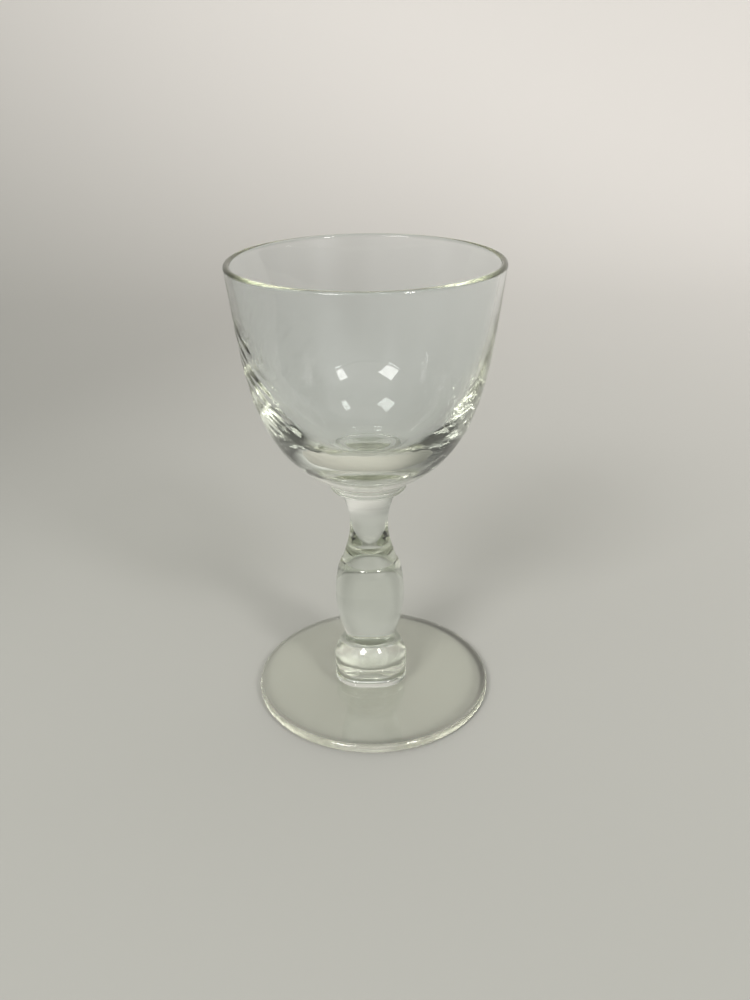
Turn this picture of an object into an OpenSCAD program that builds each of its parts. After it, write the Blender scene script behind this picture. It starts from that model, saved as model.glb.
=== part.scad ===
// A small stemmed glass for fortified wine. Seven gathers of glass are stacked on one
// axis and fused face to face: foot, wafer, base knop, barrel knop, neck, collar and bowl.
// The axis is Z, the foot stands on Z = 0 and every size is in millimetres.

/* [Bowl] */
// Height of the bowl, from its seat on the collar to the rim
bowl_height = 49.5; // [42:0.1:58]
// Outer radius of the bowl at the rim
rim_radius = 30.4; // [27:0.1:34]
// Thickness of the wall at the rim and of the fire-polished lip
wall = 1.5; // [1.2:0.1:2]
// How far the side leans in below the rim
side_lean = 2.7; // [1:0.1:4]
// How long the side stays nearly straight
side_run = 20.7; // [15:0.1:25]
// How far the belly reaches out past the seat
belly_reach = 15.3; // [12:0.1:17]
// How far the belly starts above the seat
belly_lift = 9.3; // [6:0.1:11]
// How much closer to the axis the inside of the belly is drawn
belly_wall = 2.6; // [2.2:0.1:4]
// Thickness of the solid glass in the bottom of the bowl
base_depth = 4.7; // [3:0.1:7]

/* [Collar] */
// Height of the collar between the bowl and the neck
collar_height = 4; // [3.2:0.1:6]
// Radius of the collar where the bowl sits on it
collar_top_radius = 12.2; // [11:0.1:14]
// Radius of the collar at its rounded lower edge
collar_edge_radius = 9.1; // [8.6:0.1:10.4]
// Radius of the round on the lower edge of the collar
collar_edge_round = 0.6; // [0.4:0.1:1]

/* [Neck] */
// Height of the waisted neck
neck_height = 19.5; // [15:0.1:24]
// Radius of the neck at its waist
waist_radius = 4.6; // [4:0.1:5.3]
// Radius of the neck under the collar
neck_top_radius = 7.2; // [6:0.1:7.6]
// Radius of the flared bottom of the neck
flare_radius = 6.6; // [5.8:0.1:7.2]

/* [Barrel knop] */
// Height of the barrel knop
barrel_height = 22.2; // [18:0.1:26]
// Radius of the barrel knop at its widest
barrel_radius = 8.6; // [7.4:0.1:9.6]
// Radius of the crease between the barrel knop and the base knop
nip_radius = 6; // [5:0.1:6.8]

/* [Base knop] */
// Height of the cushion-shaped base knop
knop_height = 9.9; // [8:0.1:12]
// Radius of the base knop at its widest
knop_radius = 9.3; // [8.8:0.1:10.2]
// Radius of the base knop where it stands on the wafer
knop_seat_radius = 7.2; // [6.6:0.1:8.2]

/* [Wafer] */
// Thickness of the wafer between the base knop and the foot
wafer_height = 1.6; // [1.2:0.1:2.4]
// Radius of the wafer
wafer_radius = 9.2; // [9:0.1:10.4]
// Radius of the round on the upper edge of the wafer
wafer_round = 0.6; // [0.3:0.1:0.8]

/* [Foot] */
// Radius of the foot
foot_radius = 29.6; // [26:0.1:33]
// Thickness of the foot at its rounded edge
edge_thickness = 2.6; // [2:0.1:3.2]
// Height of the middle of the foot, where the wafer stands
seat_height = 3.3; // [2.8:0.1:5]
// Radius of the seat in the middle of the foot
seat_radius = 9.5; // [9.2:0.1:11]
// Radius of the shallow hollow under the foot
hollow_radius = 24; // [18:0.1:24.5]
// Depth of the shallow hollow under the foot
hollow_depth = 0.6; // [0.3:0.1:1.2]

/* [Hidden] */
$fn = 96;

// Steps along a long curve, a short curve and a rounded edge
long_steps = 32;
short_steps = 16;
round_steps = 12;

// The levels at which the gathers meet, from the table up
wafer_base = seat_height;
knop_base = wafer_base + wafer_height;
barrel_base = knop_base + knop_height;
neck_base = barrel_base + barrel_height;
collar_base = neck_base + neck_height;
bowl_base = collar_base + collar_height;
rim_top = bowl_base + bowl_height;

// How far the round on the collar's lower edge turns up past the level
collar_edge_turn = 20;

// Where each gather is widest or narrowest, as shares of its height
knop_widest_share = 0.3;
barrel_widest_share = 0.55;
neck_waist_share = 0.49;

// How far the curves are pulled, as shares across and up the step that each one makes
collar_rise_share = 0.33;
collar_top_shares = [0.35, 0.3];
neck_flare_shares = [0.1, 0.16];
neck_waist_pull_share = 0.43;
neck_top_pull_share = 0.44;
neck_top_shares = [0.39, 0.21];
barrel_underside_shares = [0.26, 0.13];
barrel_side_share = 0.4;
barrel_upper_share = 0.42;
barrel_shoulder_shares = [0.6, 0.1];
knop_underside_shares = [0.9, 0.15];
knop_side_share = 0.44;
knop_top_shares = [0.37, 0.16];
foot_edge_shares = [0.5, 0.3];
foot_seat_shares = [0.12, 0.5];
hollow_share = 0.5;

// Points of a cubic curve from a to d, pulled towards b and c, without its first point
function curve(a, b, c, d, steps) = [
    for (i = [1:steps])
        let (t = i / steps, s = 1 - t)
        s * s * s * a + 3 * s * s * t * b + 3 * s * t * t * c + t * t * t * d
];

// Points of an arc about a centre, from one angle to another, without its first point
function arc(centre, radius, from, to, steps) = [
    for (i = [1:steps])
        let (turn = from + (to - from) * i / steps)
        centre + radius * [cos(turn), sin(turn)]
];

// A step scaled by one share across and another share up
function part_of(step, shares) = [step.x * shares.x, step.y * shares.y];

// A gather turned about the Z axis from the outline of its right half
module turned(outline) {
    rotate_extrude()
        polygon(outline);
}

// Round bowl, open at the top, with a thick solid bottom and a rounded lip
module bowl() {
    lip = wall / 2;
    lip_centre = [rim_radius - lip, rim_top - lip];
    outer_edge = [rim_radius, lip_centre.y];
    inner_edge = [rim_radius - wall, lip_centre.y];
    seat_edge = [collar_top_radius, bowl_base];
    well = [0, bowl_base + base_depth];
    color("lightcyan", 0.4)
        turned(concat(
            [[0, bowl_base], seat_edge],
            curve(seat_edge,
                seat_edge + [belly_reach, belly_lift],
                outer_edge - [side_lean, side_run],
                outer_edge, long_steps),
            arc(lip_centre, lip, 0, 180, round_steps),
            curve(inner_edge,
                inner_edge - [side_lean, side_run],
                well + [seat_edge.x + belly_reach - belly_wall, 0],
                well, long_steps)
        ));
}

// Conical collar that carries the bowl, with a rounded lower edge that overhangs the neck
module collar() {
    edge_centre = [collar_edge_radius - collar_edge_round, collar_base + collar_edge_round];
    edge_top = edge_centre + collar_edge_round * [cos(collar_edge_turn), sin(collar_edge_turn)];
    top_edge = [collar_top_radius, bowl_base];
    step = top_edge - edge_top;
    color("azure", 0.5)
        turned(concat(
            [[0, collar_base], [edge_centre.x, collar_base]],
            arc(edge_centre, collar_edge_round, -90, collar_edge_turn, round_steps),
            curve(edge_top,
                edge_top + step.y * collar_rise_share * [-sin(collar_edge_turn), cos(collar_edge_turn)],
                top_edge - part_of(step, collar_top_shares),
                top_edge, short_steps),
            [[0, bowl_base]]
        ));
}

// Waisted neck, flared at both ends
module neck() {
    flare_edge = [flare_radius, neck_base];
    waist = [waist_radius, neck_base + neck_height * neck_waist_share];
    top_edge = [neck_top_radius, collar_base];
    below = waist - flare_edge;
    above = top_edge - waist;
    color("azure", 0.5)
        turned(concat(
            [[0, neck_base], flare_edge],
            curve(flare_edge,
                flare_edge + part_of(below, neck_flare_shares),
                waist - [0, below.y * neck_waist_pull_share],
                waist, short_steps),
            curve(waist,
                waist + [0, above.y * neck_top_pull_share],
                top_edge - part_of(above, neck_top_shares),
                top_edge, short_steps),
            [[0, collar_base]]
        ));
}

// Barrel knop, widest above its middle, with a round underside
module barrel_knop() {
    nip = [nip_radius, barrel_base];
    widest = [barrel_radius, barrel_base + barrel_height * barrel_widest_share];
    shoulder = [flare_radius, neck_base];
    below = widest - nip;
    above = shoulder - widest;
    color("azure", 0.5)
        turned(concat(
            [[0, barrel_base], nip],
            curve(nip,
                nip + part_of(below, barrel_underside_shares),
                widest - [0, below.y * barrel_side_share],
                widest, short_steps),
            curve(widest,
                widest + [0, above.y * barrel_upper_share],
                shoulder - part_of(above, barrel_shoulder_shares),
                shoulder, short_steps),
            [[0, neck_base]]
        ));
}

// Cushion-shaped base knop, widest below its middle
module base_knop() {
    bottom = [knop_seat_radius, knop_base];
    widest = [knop_radius, knop_base + knop_height * knop_widest_share];
    nip = [nip_radius, barrel_base];
    below = widest - bottom;
    above = nip - widest;
    color("azure", 0.5)
        turned(concat(
            [[0, knop_base], bottom],
            curve(bottom,
                bottom + part_of(below, knop_underside_shares),
                widest - [0, below.y * knop_side_share],
                widest, short_steps),
            curve(widest,
                widest + [0, above.y * knop_side_share],
                nip - part_of(above, knop_top_shares),
                nip, short_steps),
            [[0, barrel_base]]
        ));
}

// Flat wafer that joins the stem to the foot, with a rounded upper edge
module wafer() {
    edge_centre = [wafer_radius - wafer_round, knop_base - wafer_round];
    color("azure", 0.5)
        turned(concat(
            [[0, wafer_base], [wafer_radius, wafer_base], [wafer_radius, edge_centre.y]],
            arc(edge_centre, wafer_round, 0, 90, round_steps),
            [[0, knop_base]]
        ));
}

// Round foot that rises to its seat, with a rounded edge and a shallow hollow below
module foot() {
    edge_round = edge_thickness / 2;
    edge_centre = [foot_radius - edge_round, edge_round];
    top_of_edge = edge_centre + [0, edge_round];
    seat_edge = [seat_radius, wafer_base];
    slope = seat_edge - top_of_edge;
    hollow_middle = hollow_radius * hollow_share;
    color("azure", 0.5)
        turned(concat(
            [[0, hollow_depth]],
            curve([0, hollow_depth], [hollow_middle, hollow_depth], [hollow_middle, 0],
                [hollow_radius, 0], short_steps),
            [[edge_centre.x, 0]],
            arc(edge_centre, edge_round, -90, 90, round_steps),
            curve(top_of_edge,
                top_of_edge + part_of(slope, foot_edge_shares),
                seat_edge - part_of(slope, foot_seat_shares),
                seat_edge, short_steps),
            [[0, wafer_base]]
        ));
}

bowl();
collar();
neck();
barrel_knop();
base_knop();
wafer();
foot();
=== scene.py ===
"""A small sherry glass of clear hand-made glass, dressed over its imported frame, on a pale floor."""
import math

import bpy
import numpy as np
from mathutils import Matrix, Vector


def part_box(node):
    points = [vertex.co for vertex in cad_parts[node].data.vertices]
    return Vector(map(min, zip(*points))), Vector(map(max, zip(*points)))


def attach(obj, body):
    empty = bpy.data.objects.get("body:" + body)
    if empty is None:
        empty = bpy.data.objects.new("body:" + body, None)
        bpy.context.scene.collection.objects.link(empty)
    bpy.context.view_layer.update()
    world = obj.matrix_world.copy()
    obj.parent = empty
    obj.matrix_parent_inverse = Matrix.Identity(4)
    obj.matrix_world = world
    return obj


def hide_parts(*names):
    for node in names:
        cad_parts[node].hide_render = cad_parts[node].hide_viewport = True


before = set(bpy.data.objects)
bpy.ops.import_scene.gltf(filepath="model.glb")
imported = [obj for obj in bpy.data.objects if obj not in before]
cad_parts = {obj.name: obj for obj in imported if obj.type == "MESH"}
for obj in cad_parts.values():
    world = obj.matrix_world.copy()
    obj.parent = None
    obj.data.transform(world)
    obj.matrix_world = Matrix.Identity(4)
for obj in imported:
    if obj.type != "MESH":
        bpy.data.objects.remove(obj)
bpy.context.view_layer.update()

MM = 0.001

# Camera, fitted to the ellipses of the rim and the foot in a frame of 750 by 1000 pixels
FRAME_HEIGHT_PX = 1000
FOCAL_PX = 952.14
SENSOR_HEIGHT_MM = 36
CAMERA_BACK = 205.93 * MM
CAMERA_UP = 152.085 * MM
CAMERA_PITCH = 0.449967
CAMERA_ROLL = -0.010543
CAMERA_YAW = 0.0073438

# How finely the pieces are made: faces round the axis, and rows of faces along each line of an outline
SEGMENTS = 320
CAP_STEPS = 6
STEPS = {
    "bowl_outside": 160, "lip": 24, "bowl_inside": 90,
    "collar_edge": 16, "collar_side": 26,
    "neck": 36,
    "barrel_below": 48, "barrel_above": 36,
    "knop_below": 24, "knop_above": 40,
    "wafer_side": 8, "wafer_edge": 10,
    "hollow": 40, "resting_ring": 4, "foot_edge": 28, "foot_top": 70,
    "cove": 31,
}
SMALLEST_RING = 0.01 * MM

# The gap left at a joint between two gathers, and the angle past which an edge is sharp
JOINT_GAP = 0.02 * MM
SHARP_ANGLE = math.radians(28)

# The sizes of the seven gathers. Where one is widest or narrowest is a share of its height, and how far its
# curves are pulled is given as shares across and up each step

# Bowl
WALL = 1.5 * MM
SIDE_LEAN = 2.7 * MM
SIDE_RUN = 20.7 * MM
BELLY_REACH = 15.3 * MM
BELLY_LIFT = 9.3 * MM
BELLY_WALL = 2.6 * MM
BASE_DEPTH = 4.7 * MM

# Collar
COLLAR_TOP_RADIUS = 12.2 * MM
COLLAR_EDGE_RADIUS = 9.1 * MM
COLLAR_EDGE_ROUND = 0.6 * MM
COLLAR_EDGE_TURN = math.radians(20)
COLLAR_RISE_SHARE = 0.33
COLLAR_TOP_SHARES = (0.35, 0.3)

# Neck
WAIST_RADIUS = 4.6 * MM
NECK_TOP_RADIUS = 7.2 * MM
FLARE_RADIUS = 6.6 * MM
NECK_WAIST_SHARE = 0.49
NECK_FLARE_SHARES = (0.1, 0.16)
NECK_WAIST_PULL_SHARE = 0.43
NECK_TOP_PULL_SHARE = 0.44
NECK_TOP_SHARES = (0.39, 0.21)

# Barrel knop
BARREL_RADIUS = 8.6 * MM
NIP_RADIUS = 6 * MM
BARREL_WIDEST_SHARE = 0.55
BARREL_UNDERSIDE_SHARES = (0.26, 0.13)
BARREL_SIDE_SHARE = 0.4
BARREL_UPPER_SHARE = 0.42
BARREL_SHOULDER_SHARES = (0.6, 0.1)

# Base knop
KNOP_RADIUS = 9.3 * MM
KNOP_SEAT_RADIUS = 7.2 * MM
KNOP_WIDEST_SHARE = 0.3
KNOP_UNDERSIDE_SHARES = (0.9, 0.15)
KNOP_SIDE_SHARE = 0.44
KNOP_TOP_SHARES = (0.37, 0.16)

# Wafer and foot
WAFER_ROUND = 0.6 * MM
EDGE_THICKNESS = 2.6 * MM
SEAT_RADIUS = 9.5 * MM
HOLLOW_RADIUS = 24 * MM
HOLLOW_DEPTH = 0.6 * MM
HOLLOW_SHARE = 0.5
FOOT_EDGE_SHARES = (0.5, 0.3)
FOOT_SEAT_SHARES = (0.12, 0.5)
FOOT_OFFSET = 0.66 * MM

# How flat the wafer is pressed, the share of a second cosine that keeps its corners full, how far up the base
# knop the pressing reaches as a share of its height, and how far out on the foot as a multiple of the seat
PRESSING = 0.07
CORNER_SHARE = 0.43
PRESSED_KNOP_SHARE = 0.5
PRESSED_FOOT_REACH = 1.6

# Unevenness of the bowl. Each cosine has its share of the depth, its turns round the axis, its lean over the
# height of the glass and its start
GLASS_HEIGHT = 110 * MM
WAVE_DEPTH = 0.02 * MM
WAVES = ((1, 2, 0.7, 0.6), (0.5, 3, -1.3, 2.1), (0.35, 5, 2.2, 0.4), (0.2, 7, -3.1, 1.7))
MARK_DEPTH = 0.045 * MM
MARKS = ((1, 9, 14, 0), (0.6, 14, -19, 1.1), (0.4, 26, 33, 2.3), (0.4, 35, 24, 0.8))
MARK_FOCUS = 2
MARK_LEVEL = 73 * MM
MARK_RISE = 10 * MM
MARK_SPREAD = 12 * MM


# Shapes

def curve(a, b, c, d, steps):
    """Points of a cubic curve, with t from 0 to 1: the sum of a times (1-t)^3, b times 3t(1-t)^2, c times
    3t^2(1-t) and d times t^3."""
    t = np.linspace(0, 1, steps + 1)[1:, None]
    a, b, c, d = (np.asarray(p, float) for p in (a, b, c, d))
    return (1 - t) ** 3 * a + 3 * t * (1 - t) ** 2 * b + 3 * t ** 2 * (1 - t) * c + t ** 3 * d


def arc(centre, radius, start, end, steps):
    """Points of an arc: the centre plus the radius times the cosine and sine of an angle, from the start to
    the end."""
    turn = np.linspace(start, end, steps + 1)[1:]
    return np.stack([centre[0] + radius * np.cos(turn), centre[1] + radius * np.sin(turn)], 1)


def line(a, b, steps):
    """Points of a straight line: a plus t times the step from a to b, with t from 0 to 1."""
    t = np.linspace(0, 1, steps + 1)[1:, None]
    a, b = np.asarray(a, float), np.asarray(b, float)
    return a + t * (b - a)


def part_of(step, shares):
    """A step, scaled by one share across and another share up."""
    return np.asarray(step) * shares


def along(start, end, share):
    """The value at a share of the way from the start to the end."""
    return start + share * (end - start)


def cap(radius, level, joint_radius):
    """A flat disc from the axis out, at one level: first the joint face, then what the next piece leaves
    bare."""
    joint = np.concatenate([[[0, level]], line((0, level), (joint_radius, level), CAP_STEPS)])
    if radius - joint_radius < SMALLEST_RING:
        return joint
    return np.concatenate([joint, line((joint_radius, level), (radius, level), CAP_STEPS)])


def leaning_cosines(terms, angle, height):
    """A sum of cosines, one for each term: its share times the cosine of its turns times the angle, plus its
    lean times the height as an angle (a whole turn over the height of the glass), plus its start."""
    up = height / GLASS_HEIGHT * 2 * math.pi
    return sum(share * np.cos(turns * angle + lean * up + start) for share, turns, lean, start in terms)


def tool_marks(angle, height):
    """Short tool marks on the outside of the bowl's sides: MARK_DEPTH times the leaning cosines MARKS, most
    on the left, none in front and behind, and faded out above and below the belly as a bell curve."""
    left = (1 - np.cos(angle)) / 2
    level = MARK_LEVEL + MARK_RISE * left
    belly = np.exp(-((height - level) / MARK_SPREAD) ** 2)
    sides = np.abs(np.cos(angle)) ** MARK_FOCUS
    return MARK_DEPTH * sides * (1 + left) * belly * leaning_cosines(MARKS, angle, height)


def turned(name, outline, joint_below, joint_above, uneven=False, reshape=None):
    """A gather of glass turned about the Z axis: row i and column k lie at the radius r_i, the angle
    2 pi k / SEGMENTS and the level z_i. The first and last rows are single points on the axis. Where it is
    uneven, the radius grows by r_i over the largest radius, times the slow waves plus the tool marks outside.
    The faces of the first and last CAP_STEPS rows carry the attribute joint = 1 where the piece has a joint
    there."""
    radius, level = outline[1:-1, 0], outline[1:-1, 1]
    rows = len(radius)
    angle = np.arange(SEGMENTS) * 2 * math.pi / SEGMENTS
    grid_angle, grid_level = np.meshgrid(angle, level)
    grid_radius = np.repeat(radius[:, None], SEGMENTS, 1)
    if uneven:
        outside = (np.arange(rows) < np.argmax(level))[:, None]
        swell = WAVE_DEPTH * leaning_cosines(WAVES, grid_angle, grid_level)
        swell = swell + outside * tool_marks(grid_angle, grid_level)
        grid_radius = grid_radius * (1 + swell / np.max(radius))
    x, y = grid_radius * np.cos(grid_angle), grid_radius * np.sin(grid_angle)
    if reshape:
        x, y = reshape(x, y, grid_level)
    points = np.stack([x, y, grid_level], 2).reshape(-1, 3)
    bottom, top = [[0, 0, outline[0, 1]]], [[0, 0, outline[-1, 1]]]
    points = np.concatenate([points, bottom, top])
    here = np.arange(rows * SEGMENTS).reshape(rows, SEGMENTS)
    there = np.roll(here, -1, 1)
    quads = np.stack([here[:-1], there[:-1], there[1:], here[1:]], 2).reshape(-1, 4)
    below, above = rows * SEGMENTS, rows * SEGMENTS + 1
    fan_below = np.stack([np.full(SEGMENTS, below), there[0], here[0]], 1)
    fan_above = np.stack([np.full(SEGMENTS, above), here[-1], there[-1]], 1)
    mesh = bpy.data.meshes.new(name)
    mesh.from_pydata(points.tolist(), [], quads.tolist() + fan_below.tolist() + fan_above.tolist())
    ring = np.repeat(np.arange(rows - 1), SEGMENTS)
    on_joint = np.concatenate([
        (ring < CAP_STEPS - 1) & joint_below | (ring >= rows - CAP_STEPS) & joint_above,
        np.full(SEGMENTS, joint_below), np.full(SEGMENTS, joint_above)])
    mesh.attributes.new("joint", "FLOAT", "FACE").data.foreach_set("value", on_joint.astype(np.float32))
    mesh.shade_smooth()
    mesh.set_sharp_from_angle(angle=SHARP_ANGLE)
    piece = bpy.data.objects.new(name, mesh)
    bpy.context.scene.collection.objects.link(piece)
    return piece


def level_of(node):
    """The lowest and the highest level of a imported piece."""
    low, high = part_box(node)
    return low.z, high.z


def span_of(node):
    """The levels between which a piece of glass is made, drawn in by half the gap at its joints."""
    low, high = level_of(node)
    return low + JOINT_GAP / 2, high - JOINT_GAP / 2


# The outlines, from the point of each piece lowest on the axis round to the one highest on it

def bowl_outline():
    """The joint, the outside up to the rim, round the lip, and the inside down to the middle of the well."""
    base = level_of("bowl")[0] + JOINT_GAP / 2
    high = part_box("bowl")[1]
    rim_radius, top = high.x, high.z
    lip = WALL / 2
    lip_centre = np.array([rim_radius - lip, top - lip])
    outer_edge = lip_centre + (lip, 0)
    inner_edge = lip_centre - (lip, 0)
    seat = np.array([COLLAR_TOP_RADIUS, base])
    well = np.array([0, base + BASE_DEPTH])
    lean = np.array([SIDE_LEAN, SIDE_RUN])
    return np.concatenate([
        cap(seat[0], base, COLLAR_TOP_RADIUS),
        curve(seat, seat + (BELLY_REACH, BELLY_LIFT), outer_edge - lean, outer_edge, STEPS["bowl_outside"]),
        arc(lip_centre, lip, 0, math.pi, STEPS["lip"]),
        curve(inner_edge, inner_edge - lean, well + (seat[0] + BELLY_REACH - BELLY_WALL, 0), well,
            STEPS["bowl_inside"]),
    ])


def collar_outline():
    """The joint, what overhangs the neck, round the lower edge, and the side up to the bowl's seat."""
    low, high = span_of("collar")
    centre = np.array([COLLAR_EDGE_RADIUS - COLLAR_EDGE_ROUND, low + COLLAR_EDGE_ROUND])
    turn = np.array([math.cos(COLLAR_EDGE_TURN), math.sin(COLLAR_EDGE_TURN)])
    edge = centre + COLLAR_EDGE_ROUND * turn
    top = np.array([COLLAR_TOP_RADIUS, high])
    step = top - edge
    rise = step[1] * COLLAR_RISE_SHARE * np.array([-turn[1], turn[0]])
    return np.concatenate([
        cap(centre[0], low, NECK_TOP_RADIUS),
        arc(centre, COLLAR_EDGE_ROUND, -math.pi / 2, COLLAR_EDGE_TURN, STEPS["collar_edge"]),
        curve(edge, edge + rise, top - part_of(step, COLLAR_TOP_SHARES), top, STEPS["collar_side"]),
        cap(top[0], high, COLLAR_TOP_RADIUS)[::-1][1:],
    ])


def neck_outline():
    """The joint, the flare up to the waist, and the waist up to the collar."""
    low, high = span_of("neck")
    flare = np.array([FLARE_RADIUS, low])
    waist = np.array([WAIST_RADIUS, along(low, high, NECK_WAIST_SHARE)])
    top = np.array([NECK_TOP_RADIUS, high])
    below, above = waist - flare, top - waist
    return np.concatenate([
        cap(flare[0], low, FLARE_RADIUS),
        curve(flare, flare + part_of(below, NECK_FLARE_SHARES), waist - (0, below[1] * NECK_WAIST_PULL_SHARE),
            waist, STEPS["neck"]),
        curve(waist, waist + (0, above[1] * NECK_TOP_PULL_SHARE), top - part_of(above, NECK_TOP_SHARES),
            top, STEPS["neck"]),
        cap(top[0], high, NECK_TOP_RADIUS)[::-1][1:],
    ])


def barrel_outline():
    """The joint, the round underside up to the widest level, and the side up to the neck."""
    low, high = span_of("barrel_knop")
    nip = np.array([NIP_RADIUS, low])
    widest = np.array([BARREL_RADIUS, along(low, high, BARREL_WIDEST_SHARE)])
    shoulder = np.array([FLARE_RADIUS, high])
    below, above = widest - nip, shoulder - widest
    return np.concatenate([
        cap(nip[0], low, NIP_RADIUS),
        curve(nip, nip + part_of(below, BARREL_UNDERSIDE_SHARES), widest - (0, below[1] * BARREL_SIDE_SHARE),
            widest, STEPS["barrel_below"]),
        curve(widest, widest + (0, above[1] * BARREL_UPPER_SHARE),
            shoulder - part_of(above, BARREL_SHOULDER_SHARES), shoulder, STEPS["barrel_above"]),
        cap(shoulder[0], high, FLARE_RADIUS)[::-1][1:],
    ])


def base_knop_outline():
    """The joint, the underside up to the widest level, and the cushion's top in to the barrel knop."""
    low, high = span_of("base_knop")
    bottom = np.array([KNOP_SEAT_RADIUS, low])
    widest = np.array([KNOP_RADIUS, along(low, high, KNOP_WIDEST_SHARE)])
    nip = np.array([NIP_RADIUS, high])
    below, above = widest - bottom, nip - widest
    return np.concatenate([
        cap(bottom[0], low, KNOP_SEAT_RADIUS),
        curve(bottom, bottom + part_of(below, KNOP_UNDERSIDE_SHARES),
            widest - (0, below[1] * KNOP_SIDE_SHARE), widest, STEPS["knop_below"]),
        curve(widest, widest + (0, above[1] * KNOP_SIDE_SHARE), nip - part_of(above, KNOP_TOP_SHARES),
            nip, STEPS["knop_above"]),
        cap(nip[0], high, NIP_RADIUS)[::-1][1:],
    ])


def wafer_outline():
    """The joint, the upright side, round the upper edge, and the top in to the base knop."""
    low, high = span_of("wafer")
    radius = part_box("wafer")[1].x
    centre = (radius - WAFER_ROUND, high - WAFER_ROUND)
    return np.concatenate([
        cap(radius, low, radius),
        line((radius, low), (radius, centre[1]), STEPS["wafer_side"]),
        arc(centre, WAFER_ROUND, 0, math.pi / 2, STEPS["wafer_edge"]),
        cap(centre[0], high, KNOP_SEAT_RADIUS)[::-1][1:],
    ])


def foot_outline():
    """The hollow below, the flat ring it rests on, round the edge, and the slope up to the wafer's seat."""
    high = level_of("foot")[1] - JOINT_GAP / 2
    edge_round = EDGE_THICKNESS / 2
    centre = np.array([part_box("foot")[1].x - edge_round, edge_round])
    edge = centre + (0, edge_round)
    seat = np.array([SEAT_RADIUS, high])
    slope = seat - edge
    middle = HOLLOW_RADIUS * HOLLOW_SHARE
    return np.concatenate([
        [[0, HOLLOW_DEPTH]],
        curve((0, HOLLOW_DEPTH), (middle, HOLLOW_DEPTH), (middle, 0), (HOLLOW_RADIUS, 0), STEPS["hollow"]),
        line((HOLLOW_RADIUS, 0), (centre[0], 0), STEPS["resting_ring"]),
        arc(centre, edge_round, -math.pi / 2, math.pi / 2, STEPS["foot_edge"]),
        curve(edge, edge + part_of(slope, FOOT_EDGE_SHARES), seat - part_of(slope, FOOT_SEAT_SHARES),
            seat, STEPS["foot_top"]),
        cap(seat[0], high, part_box("wafer")[1].x)[::-1][1:],
    ])


def fade(value, start, end):
    """1 up to the start, 0 from the end, and a smooth step between them."""
    share = np.clip((end - value) / (end - start), 0, 1)
    return share * share * (3 - 2 * share)


def pressed(x, y, level, share=1.0):
    """Presses a piece a little flat in front and behind, as a tool does: the radius grows by PRESSING times
    the cosine of twice the angle, less CORNER_SHARE times that of four times the angle, less what makes it 0
    at the sides."""
    angle = np.arctan2(y, x)
    cosines = np.cos(2 * angle) - CORNER_SHARE * np.cos(4 * angle)
    grown = 1 + PRESSING * share * (cosines - (1 - CORNER_SHARE))
    return x * grown, y * grown


def knop_shape(x, y, level):
    """The pressed shape of the wafer, which fades out up the base knop."""
    low, high = level_of("base_knop")
    return pressed(x, y, level, fade(level, low, along(low, high, PRESSED_KNOP_SHARE)))


def foot_shape(x, y, level):
    """The pressed shape of the wafer over it, and the rim moved aside by FOOT_OFFSET. Both fade between the
    seat and the rim, and the hollow below is left round."""
    radius = np.hypot(x, y)
    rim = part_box("foot")[1].x
    aside = FOOT_OFFSET * (1 - fade(radius, SEAT_RADIUS, rim))
    near_seat = fade(radius, SEAT_RADIUS, SEAT_RADIUS * PRESSED_FOOT_REACH)
    x, y = pressed(x, y, level, near_seat * (level > EDGE_THICKNESS))
    return x + aside, y


# Shader nodes

class Value:
    """A number from a shader node. An operator between two of them, or with a plain number, adds a Math
    node."""

    def __init__(self, tree, socket):
        self.tree, self.socket = tree, socket

    def math(self, operation, first, second):
        return self.tree.add("ShaderNodeMath", {"operation": operation}, {0: first, 1: second})

    def __add__(self, other):
        return self.math("ADD", self, other)

    def __radd__(self, other):
        return self.math("ADD", other, self)

    def __sub__(self, other):
        return self.math("SUBTRACT", self, other)

    def __rsub__(self, other):
        return self.math("SUBTRACT", other, self)

    def __mul__(self, other):
        return self.math("MULTIPLY", self, other)

    def __rmul__(self, other):
        return self.math("MULTIPLY", other, self)


class Tree:
    """The node tree of a material or of the world."""

    def __init__(self, owner):
        owner.use_nodes = True
        self.nodes, self.links = owner.node_tree.nodes, owner.node_tree.links
        self.nodes.clear()

    def add(self, kind, settings=None, inputs=None, output=0):
        """Adds a node: its settings first, then values or links into its sockets. Gives one of its
        outputs."""
        node = self.nodes.new(kind)
        for name, setting in (settings or {}).items():
            setattr(node, name, setting)
        for name, value in (inputs or {}).items():
            if isinstance(value, Value):
                self.links.new(value.socket, node.inputs[name])
            else:
                node.inputs[name].default_value = value
        return Value(self, node.outputs[output]) if len(node.outputs) else None


def rgb(red, green, blue):
    """A colour socket's value from three linear numbers."""
    return (red, green, blue, 1)


# The numbers of a colour Mix node's sockets, because their names repeat
MIX_SHARE, MIX_FIRST, MIX_SECOND, MIX_RESULT = 0, 6, 7, 2


# Glass

# Light crosses and turns inside the solid stem many times before it leaves
GLASS_BOUNCES = 64
CLEAR_BOUNCES = 32

GLASS_IOR = 1.52
GLASS_TINT = rgb(0.62, 0.65, 0.42)

# The colour of light that crosses a wall, how fast the tint grows with thickness, and the shade that each
# face throws on the floor
BOWL_COLOUR, BOWL_DENSITY, BOWL_SHADE = rgb(0.95, 0.973, 0.978), 9.0, rgb(0.80, 0.80, 0.79)
STEM_COLOUR, STEM_DENSITY, STEM_SHADE = rgb(0.965, 0.998, 0.99), 10.0, rgb(0.50, 0.51, 0.49)
FOOT_COLOUR, FOOT_DENSITY, FOOT_SHADE = rgb(0.997, 1, 1), 8.0, rgb(0.93, 0.94, 0.90)

# The foot's rounded edge: where it starts, as a share of the thickness in from the rim, how far it fades, and
# the share of light that shines straight through it
EDGE_START_SHARE = 0.6
EDGE_FADE = 1 * MM
EDGE_SHARE = 0.35

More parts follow.
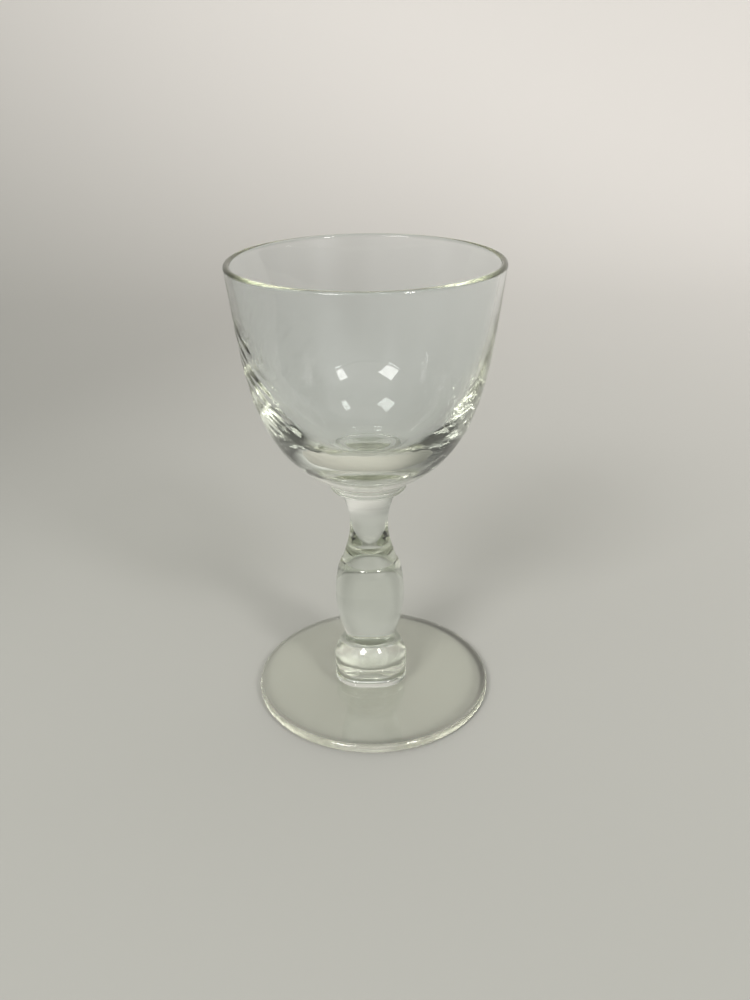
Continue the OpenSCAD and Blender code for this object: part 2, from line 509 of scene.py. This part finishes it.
# Slow striae in all the glass, and the scratches where the foot touches the table
STRIAE = {"Scale": 90.0, "Detail": 1.0}
STRIAE_BUMP = {"Strength": 0.25, "Distance": 0.05 * MM}
SCRATCHES = {"Scale": 2500.0, "Detail": 2.0}
SCRATCH_ROUGHNESS = 0.3
SCRATCH_HEIGHT = 0.4 * MM


def clear_glass(name, colour, density, shade, worn=0.0, edge=None):
    """Clear glass with a faint grey-green tint, stronger where it is thick. Its joint faces aren't there for
    light, and what lights a surface behind it shines straight through, less a shade at each face. Slow striae
    bend what is seen, and a worn piece is finely scratched near the table. The rounded edge beyond the radius
    edge bends most of the light away."""
    material = bpy.data.materials.new(name)
    tree = Tree(material)
    place = tree.add("ShaderNodeTexCoord", output="Object")
    striae = tree.add("ShaderNodeTexNoise", {"noise_dimensions": "3D"}, {"Vector": place, **STRIAE})
    normal = tree.add("ShaderNodeBump", {}, {**STRIAE_BUMP, "Height": striae})
    open_face = 1 - tree.add("ShaderNodeAttribute", {"attribute_name": "joint"}, output="Fac")
    surface = {
        "Base Color": colour, "Transmission Weight": 1.0, "IOR": GLASS_IOR, "Roughness": 0.0,
        "Normal": normal, "Alpha": open_face,
    }
    if worn:
        height = tree.add("ShaderNodeSeparateXYZ", {}, {0: place}, output="Z")
        near_table = tree.add("ShaderNodeMapRange", {"clamp": True}, {
            "Value": height, "From Min": 0.0, "From Max": SCRATCH_HEIGHT, "To Min": 1.0, "To Max": 0.0})
        scratches = tree.add("ShaderNodeTexNoise", {}, {"Vector": place, **SCRATCHES})
        surface["Roughness"] = worn * near_table * scratches
    body = tree.add("ShaderNodeBsdfPrincipled", {}, surface)
    shine_through = tree.add("ShaderNodeBsdfTransparent", {}, {"Color": shade})
    lamp_ray = tree.add("ShaderNodeLightPath", output="Is Shadow Ray")
    room_ray = tree.add("ShaderNodeLightPath", output="Is Diffuse Ray")
    passing = (lamp_ray + room_ray) * open_face
    if edge:
        flat = tree.add("ShaderNodeVectorMath", {"operation": "MULTIPLY"}, {0: place, 1: (1, 1, 0)})
        radius = tree.add("ShaderNodeVectorMath", {"operation": "LENGTH"}, {0: flat}, "Value")
        passing = passing * tree.add("ShaderNodeMapRange", {"clamp": True}, {
            "Value": radius, "From Min": edge, "From Max": edge + EDGE_FADE,
            "To Min": 1.0, "To Max": EDGE_SHARE})
    mixed = tree.add("ShaderNodeMixShader", {}, {"Fac": passing, 1: body, 2: shine_through})
    depth = tree.add("ShaderNodeVolumeAbsorption", {}, {"Color": GLASS_TINT, "Density": density})
    tree.add("ShaderNodeOutputMaterial", {}, {"Surface": mixed, "Volume": depth})
    return material


def make_glass():
    """Makes the seven gathers, each over its CAD node."""
    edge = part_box("foot")[1].x - EDGE_START_SHARE * EDGE_THICKNESS
    glass = {
        "bowl_glass": clear_glass("bowl_glass", BOWL_COLOUR, BOWL_DENSITY, BOWL_SHADE),
        "stem_glass": clear_glass("stem_glass", STEM_COLOUR, STEM_DENSITY, STEM_SHADE),
        "foot_glass": clear_glass(
            "foot_glass", FOOT_COLOUR, FOOT_DENSITY, FOOT_SHADE, SCRATCH_ROUGHNESS, edge),
    }
    gathers = [
        ("bowl", bowl_outline, "bowl_glass", None),
        ("collar", collar_outline, "stem_glass", None),
        ("neck", neck_outline, "stem_glass", None),
        ("barrel_knop", barrel_outline, "stem_glass", None),
        ("base_knop", base_knop_outline, "stem_glass", knop_shape),
        ("wafer", wafer_outline, "stem_glass", pressed),
        ("foot", foot_outline, "foot_glass", foot_shape),
    ]
    for node, outline, slot, reshape in gathers:
        piece = turned(node + "_glass", outline(), node != "foot", node != "bowl", node == "bowl", reshape)
        piece.data.materials.append(glass[slot])
        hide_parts(node)
        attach(piece, "root")


# Stage, lamps, world and camera

FLOOR_DROP = 0.05 * MM
FLOOR_HALF_WIDTH = 1.8
FLOOR_FRONT = -1.4
COVE_START = 0.4
COVE_RADIUS = 0.9
COVE_TOP = 1.6

# The sheet's colour near the glass; a painted shade, darker further back on the left, that stands in for
# shadow there;
# and painted light, paler far away. Each change of colour starts and ends where the distance back, less its
# slant times the distance across, passes two values
NEAR_COLOUR = rgb(0.46, 0.462, 0.43)
PAINTED_SHADE_COLOUR, PAINTED_SHADE_SLANT, PAINTED_SHADE_BAND = rgb(0.368, 0.368, 0.342), 1.8, (0.19, 0.54)
# Painted light: the sheet is made paler far back, where more light falls on it
PAINTED_LIGHT_COLOUR, PAINTED_LIGHT_SLANT, PAINTED_LIGHT_BAND = rgb(0.82, 0.793, 0.76), -1.0, (-0.09, 1.05)


def make_floor():
    """A pale sheet: level from the front to the cove, then a quarter circle, then upright to its top."""
    quarter = np.linspace(0, math.pi / 2, STEPS["cove"] + 1)
    depth = np.concatenate([
        [FLOOR_FRONT], COVE_START + COVE_RADIUS * np.sin(quarter), [COVE_START + COVE_RADIUS]])
    height = np.concatenate([[0], COVE_RADIUS - COVE_RADIUS * np.cos(quarter), [COVE_TOP]]) - FLOOR_DROP
    rows = len(depth)
    points = np.stack([
        np.tile([-FLOOR_HALF_WIDTH, FLOOR_HALF_WIDTH], rows), np.repeat(depth, 2), np.repeat(height, 2)], 1)
    corner = 2 * np.arange(rows - 1)
    faces = np.stack([corner, corner + 1, corner + 3, corner + 2], 1)
    mesh = bpy.data.meshes.new("floor")
    mesh.from_pydata(points.tolist(), [], faces.tolist())
    mesh.shade_smooth()
    floor = bpy.data.objects.new("floor", mesh)
    bpy.context.scene.collection.objects.link(floor)
    material = bpy.data.materials.new("pale_sheet")
    tree = Tree(material)
    place = tree.add("ShaderNodeTexCoord", output="Object")
    across = tree.add("ShaderNodeSeparateXYZ", {}, {0: place}, output="X")
    back = tree.add("ShaderNodeSeparateXYZ", {}, {0: place}, output="Y")
    # The sheet's pale colour, then a painted shade that darkens it further back on the left and painted light
    # that makes it paler far back
    sheet_and_painted_light = NEAR_COLOUR
    for colour, slant, (start, end) in (
            (PAINTED_SHADE_COLOUR, PAINTED_SHADE_SLANT, PAINTED_SHADE_BAND), (PAINTED_LIGHT_COLOUR, PAINTED_LIGHT_SLANT, PAINTED_LIGHT_BAND)):
        share = tree.add("ShaderNodeMapRange", {"interpolation_type": "SMOOTHSTEP"}, {
            "Value": back - slant * across, "From Min": start, "From Max": end})
        sheet_and_painted_light = tree.add("ShaderNodeMix", {"data_type": "RGBA"}, {
            MIX_SHARE: share, MIX_FIRST: sheet_and_painted_light, MIX_SECOND: colour}, MIX_RESULT)
    sheet = tree.add("ShaderNodeBsdfDiffuse", {}, {"Color": sheet_and_painted_light})
    tree.add("ShaderNodeOutputMaterial", {}, {"Surface": sheet})
    mesh.materials.append(material)


# Each lamp has an azimuth from the camera's side, an elevation, a distance, a width across, a length away
# from the glass, a twist in degrees and a power
LAMPS = {"left": (-33, 37.5, 2.9, 0.82, 1.1, -20, 64), "right": (38, 38, 2.4, 0.34, 0.9, 5, 29)}
LAMP_COLOUR = (1, 0.985, 0.955)


def make_lamps():
    """Two ceiling panels behind the camera, one on each side, that face straight down."""
    for side, (azimuth, elevation, distance, width, length, twist, power) in LAMPS.items():
        turn, rise = math.radians(azimuth), math.radians(elevation)
        light = bpy.data.lights.new("lamp_" + side, "AREA")
        light.shape, light.size, light.size_y = "RECTANGLE", width, length
        light.energy, light.color = power, LAMP_COLOUR
        lamp = bpy.data.objects.new("lamp_" + side, light)
        lamp.location = (
            distance * math.cos(rise) * math.sin(turn),
            -distance * math.cos(rise) * math.cos(turn),
            distance * math.sin(rise),
        )
        lamp.rotation_euler = (0, 0, turn + math.radians(twist))
        bpy.context.scene.collection.objects.link(lamp)


ROOM_LEVEL = 0.33
ROOM_DARKEST = 0.02
ROOM_COLOUR = rgb(1, 0.99, 0.97)

# Each patch of the room has an azimuth and an elevation from the camera's side, the half angles at which it
# starts to fade and is gone, and how much brighter or darker it is than the room
PATCHES = {
    "dark_wall": (-100, 24, 12, 34, -0.33),
    "left_wall": (-66, 32, 8, 24, 0.30),
    "right_wall": (98, 26, 12, 32, -0.33),
    "window": (136, 24, 8, 26, 0.32),
    "back_ceiling": (150, 50, 16, 42, 0.50),
    "ceiling_left": (-14, 36, 12, 34, 0.80),
    "ceiling_right": (38, 26, 12, 32, 0.90),
    "dark_gap": (-12, 18, 4, 15, -0.57),
    "below_camera": (16, 0, 6, 24, -0.21),
}


def make_world():
    """The room all round: its level, plus each patch's strength times a smooth step over the angle from its
    middle, and never below its darkest."""
    world = bpy.data.worlds.new("room")
    bpy.context.scene.world = world
    tree = Tree(world)
    direction = tree.add("ShaderNodeTexCoord", output="Generated")
    level = ROOM_LEVEL
    for azimuth, elevation, start, gone, strength in PATCHES.values():
        turn, rise = math.radians(azimuth), math.radians(elevation)
        middle = (math.cos(rise) * math.sin(turn), -math.cos(rise) * math.cos(turn), math.sin(rise))
        near = tree.add(
            "ShaderNodeVectorMath", {"operation": "DOT_PRODUCT"}, {0: direction, 1: middle}, "Value")
        level = level + tree.add("ShaderNodeMapRange", {"interpolation_type": "SMOOTHSTEP"}, {
            "Value": near, "To Min": 0.0, "To Max": strength,
            "From Min": math.cos(math.radians(gone)), "From Max": math.cos(math.radians(start))})
    level = level.math("MAXIMUM", level, ROOM_DARKEST)
    light = tree.add("ShaderNodeBackground", {}, {"Color": ROOM_COLOUR, "Strength": level})
    tree.add("ShaderNodeOutputWorld", {}, {"Surface": light})


def make_camera():
    """The fitted camera: it looks along yaw and pitch, and its frame is rolled about that line."""
    camera = bpy.data.cameras.new("camera")
    camera.sensor_fit = "VERTICAL"
    camera.sensor_height = SENSOR_HEIGHT_MM
    camera.lens = FOCAL_PX / FRAME_HEIGHT_PX * SENSOR_HEIGHT_MM
    camera.clip_start = MM
    forward = np.array([
        math.sin(CAMERA_YAW) * math.cos(CAMERA_PITCH),
        math.cos(CAMERA_YAW) * math.cos(CAMERA_PITCH),
        -math.sin(CAMERA_PITCH),
    ])
    level_right = np.array([math.cos(CAMERA_YAW), -math.sin(CAMERA_YAW), 0])
    level_up = np.cross(level_right, forward)
    right = math.cos(CAMERA_ROLL) * level_right + math.sin(CAMERA_ROLL) * level_up
    up = math.cos(CAMERA_ROLL) * level_up - math.sin(CAMERA_ROLL) * level_right
    place = (0, -CAMERA_BACK, CAMERA_UP)
    turn = Matrix([[right[i], up[i], -forward[i], place[i]] for i in range(3)] + [[0, 0, 0, 1]])
    holder = bpy.data.objects.new("camera", camera)
    holder.matrix_world = turn
    bpy.context.scene.collection.objects.link(holder)
    bpy.context.scene.camera = holder


make_camera()
make_glass()
make_floor()
make_lamps()
make_world()

scene = bpy.context.scene
scene.view_settings.view_transform = "Standard"
scene.cycles.max_bounces = GLASS_BOUNCES
scene.cycles.transmission_bounces = GLASS_BOUNCES
scene.cycles.glossy_bounces = GLASS_BOUNCES
scene.cycles.transparent_max_bounces = CLEAR_BOUNCES
scene.cycles.caustics_reflective = False
scene.cycles.caustics_refractive = False
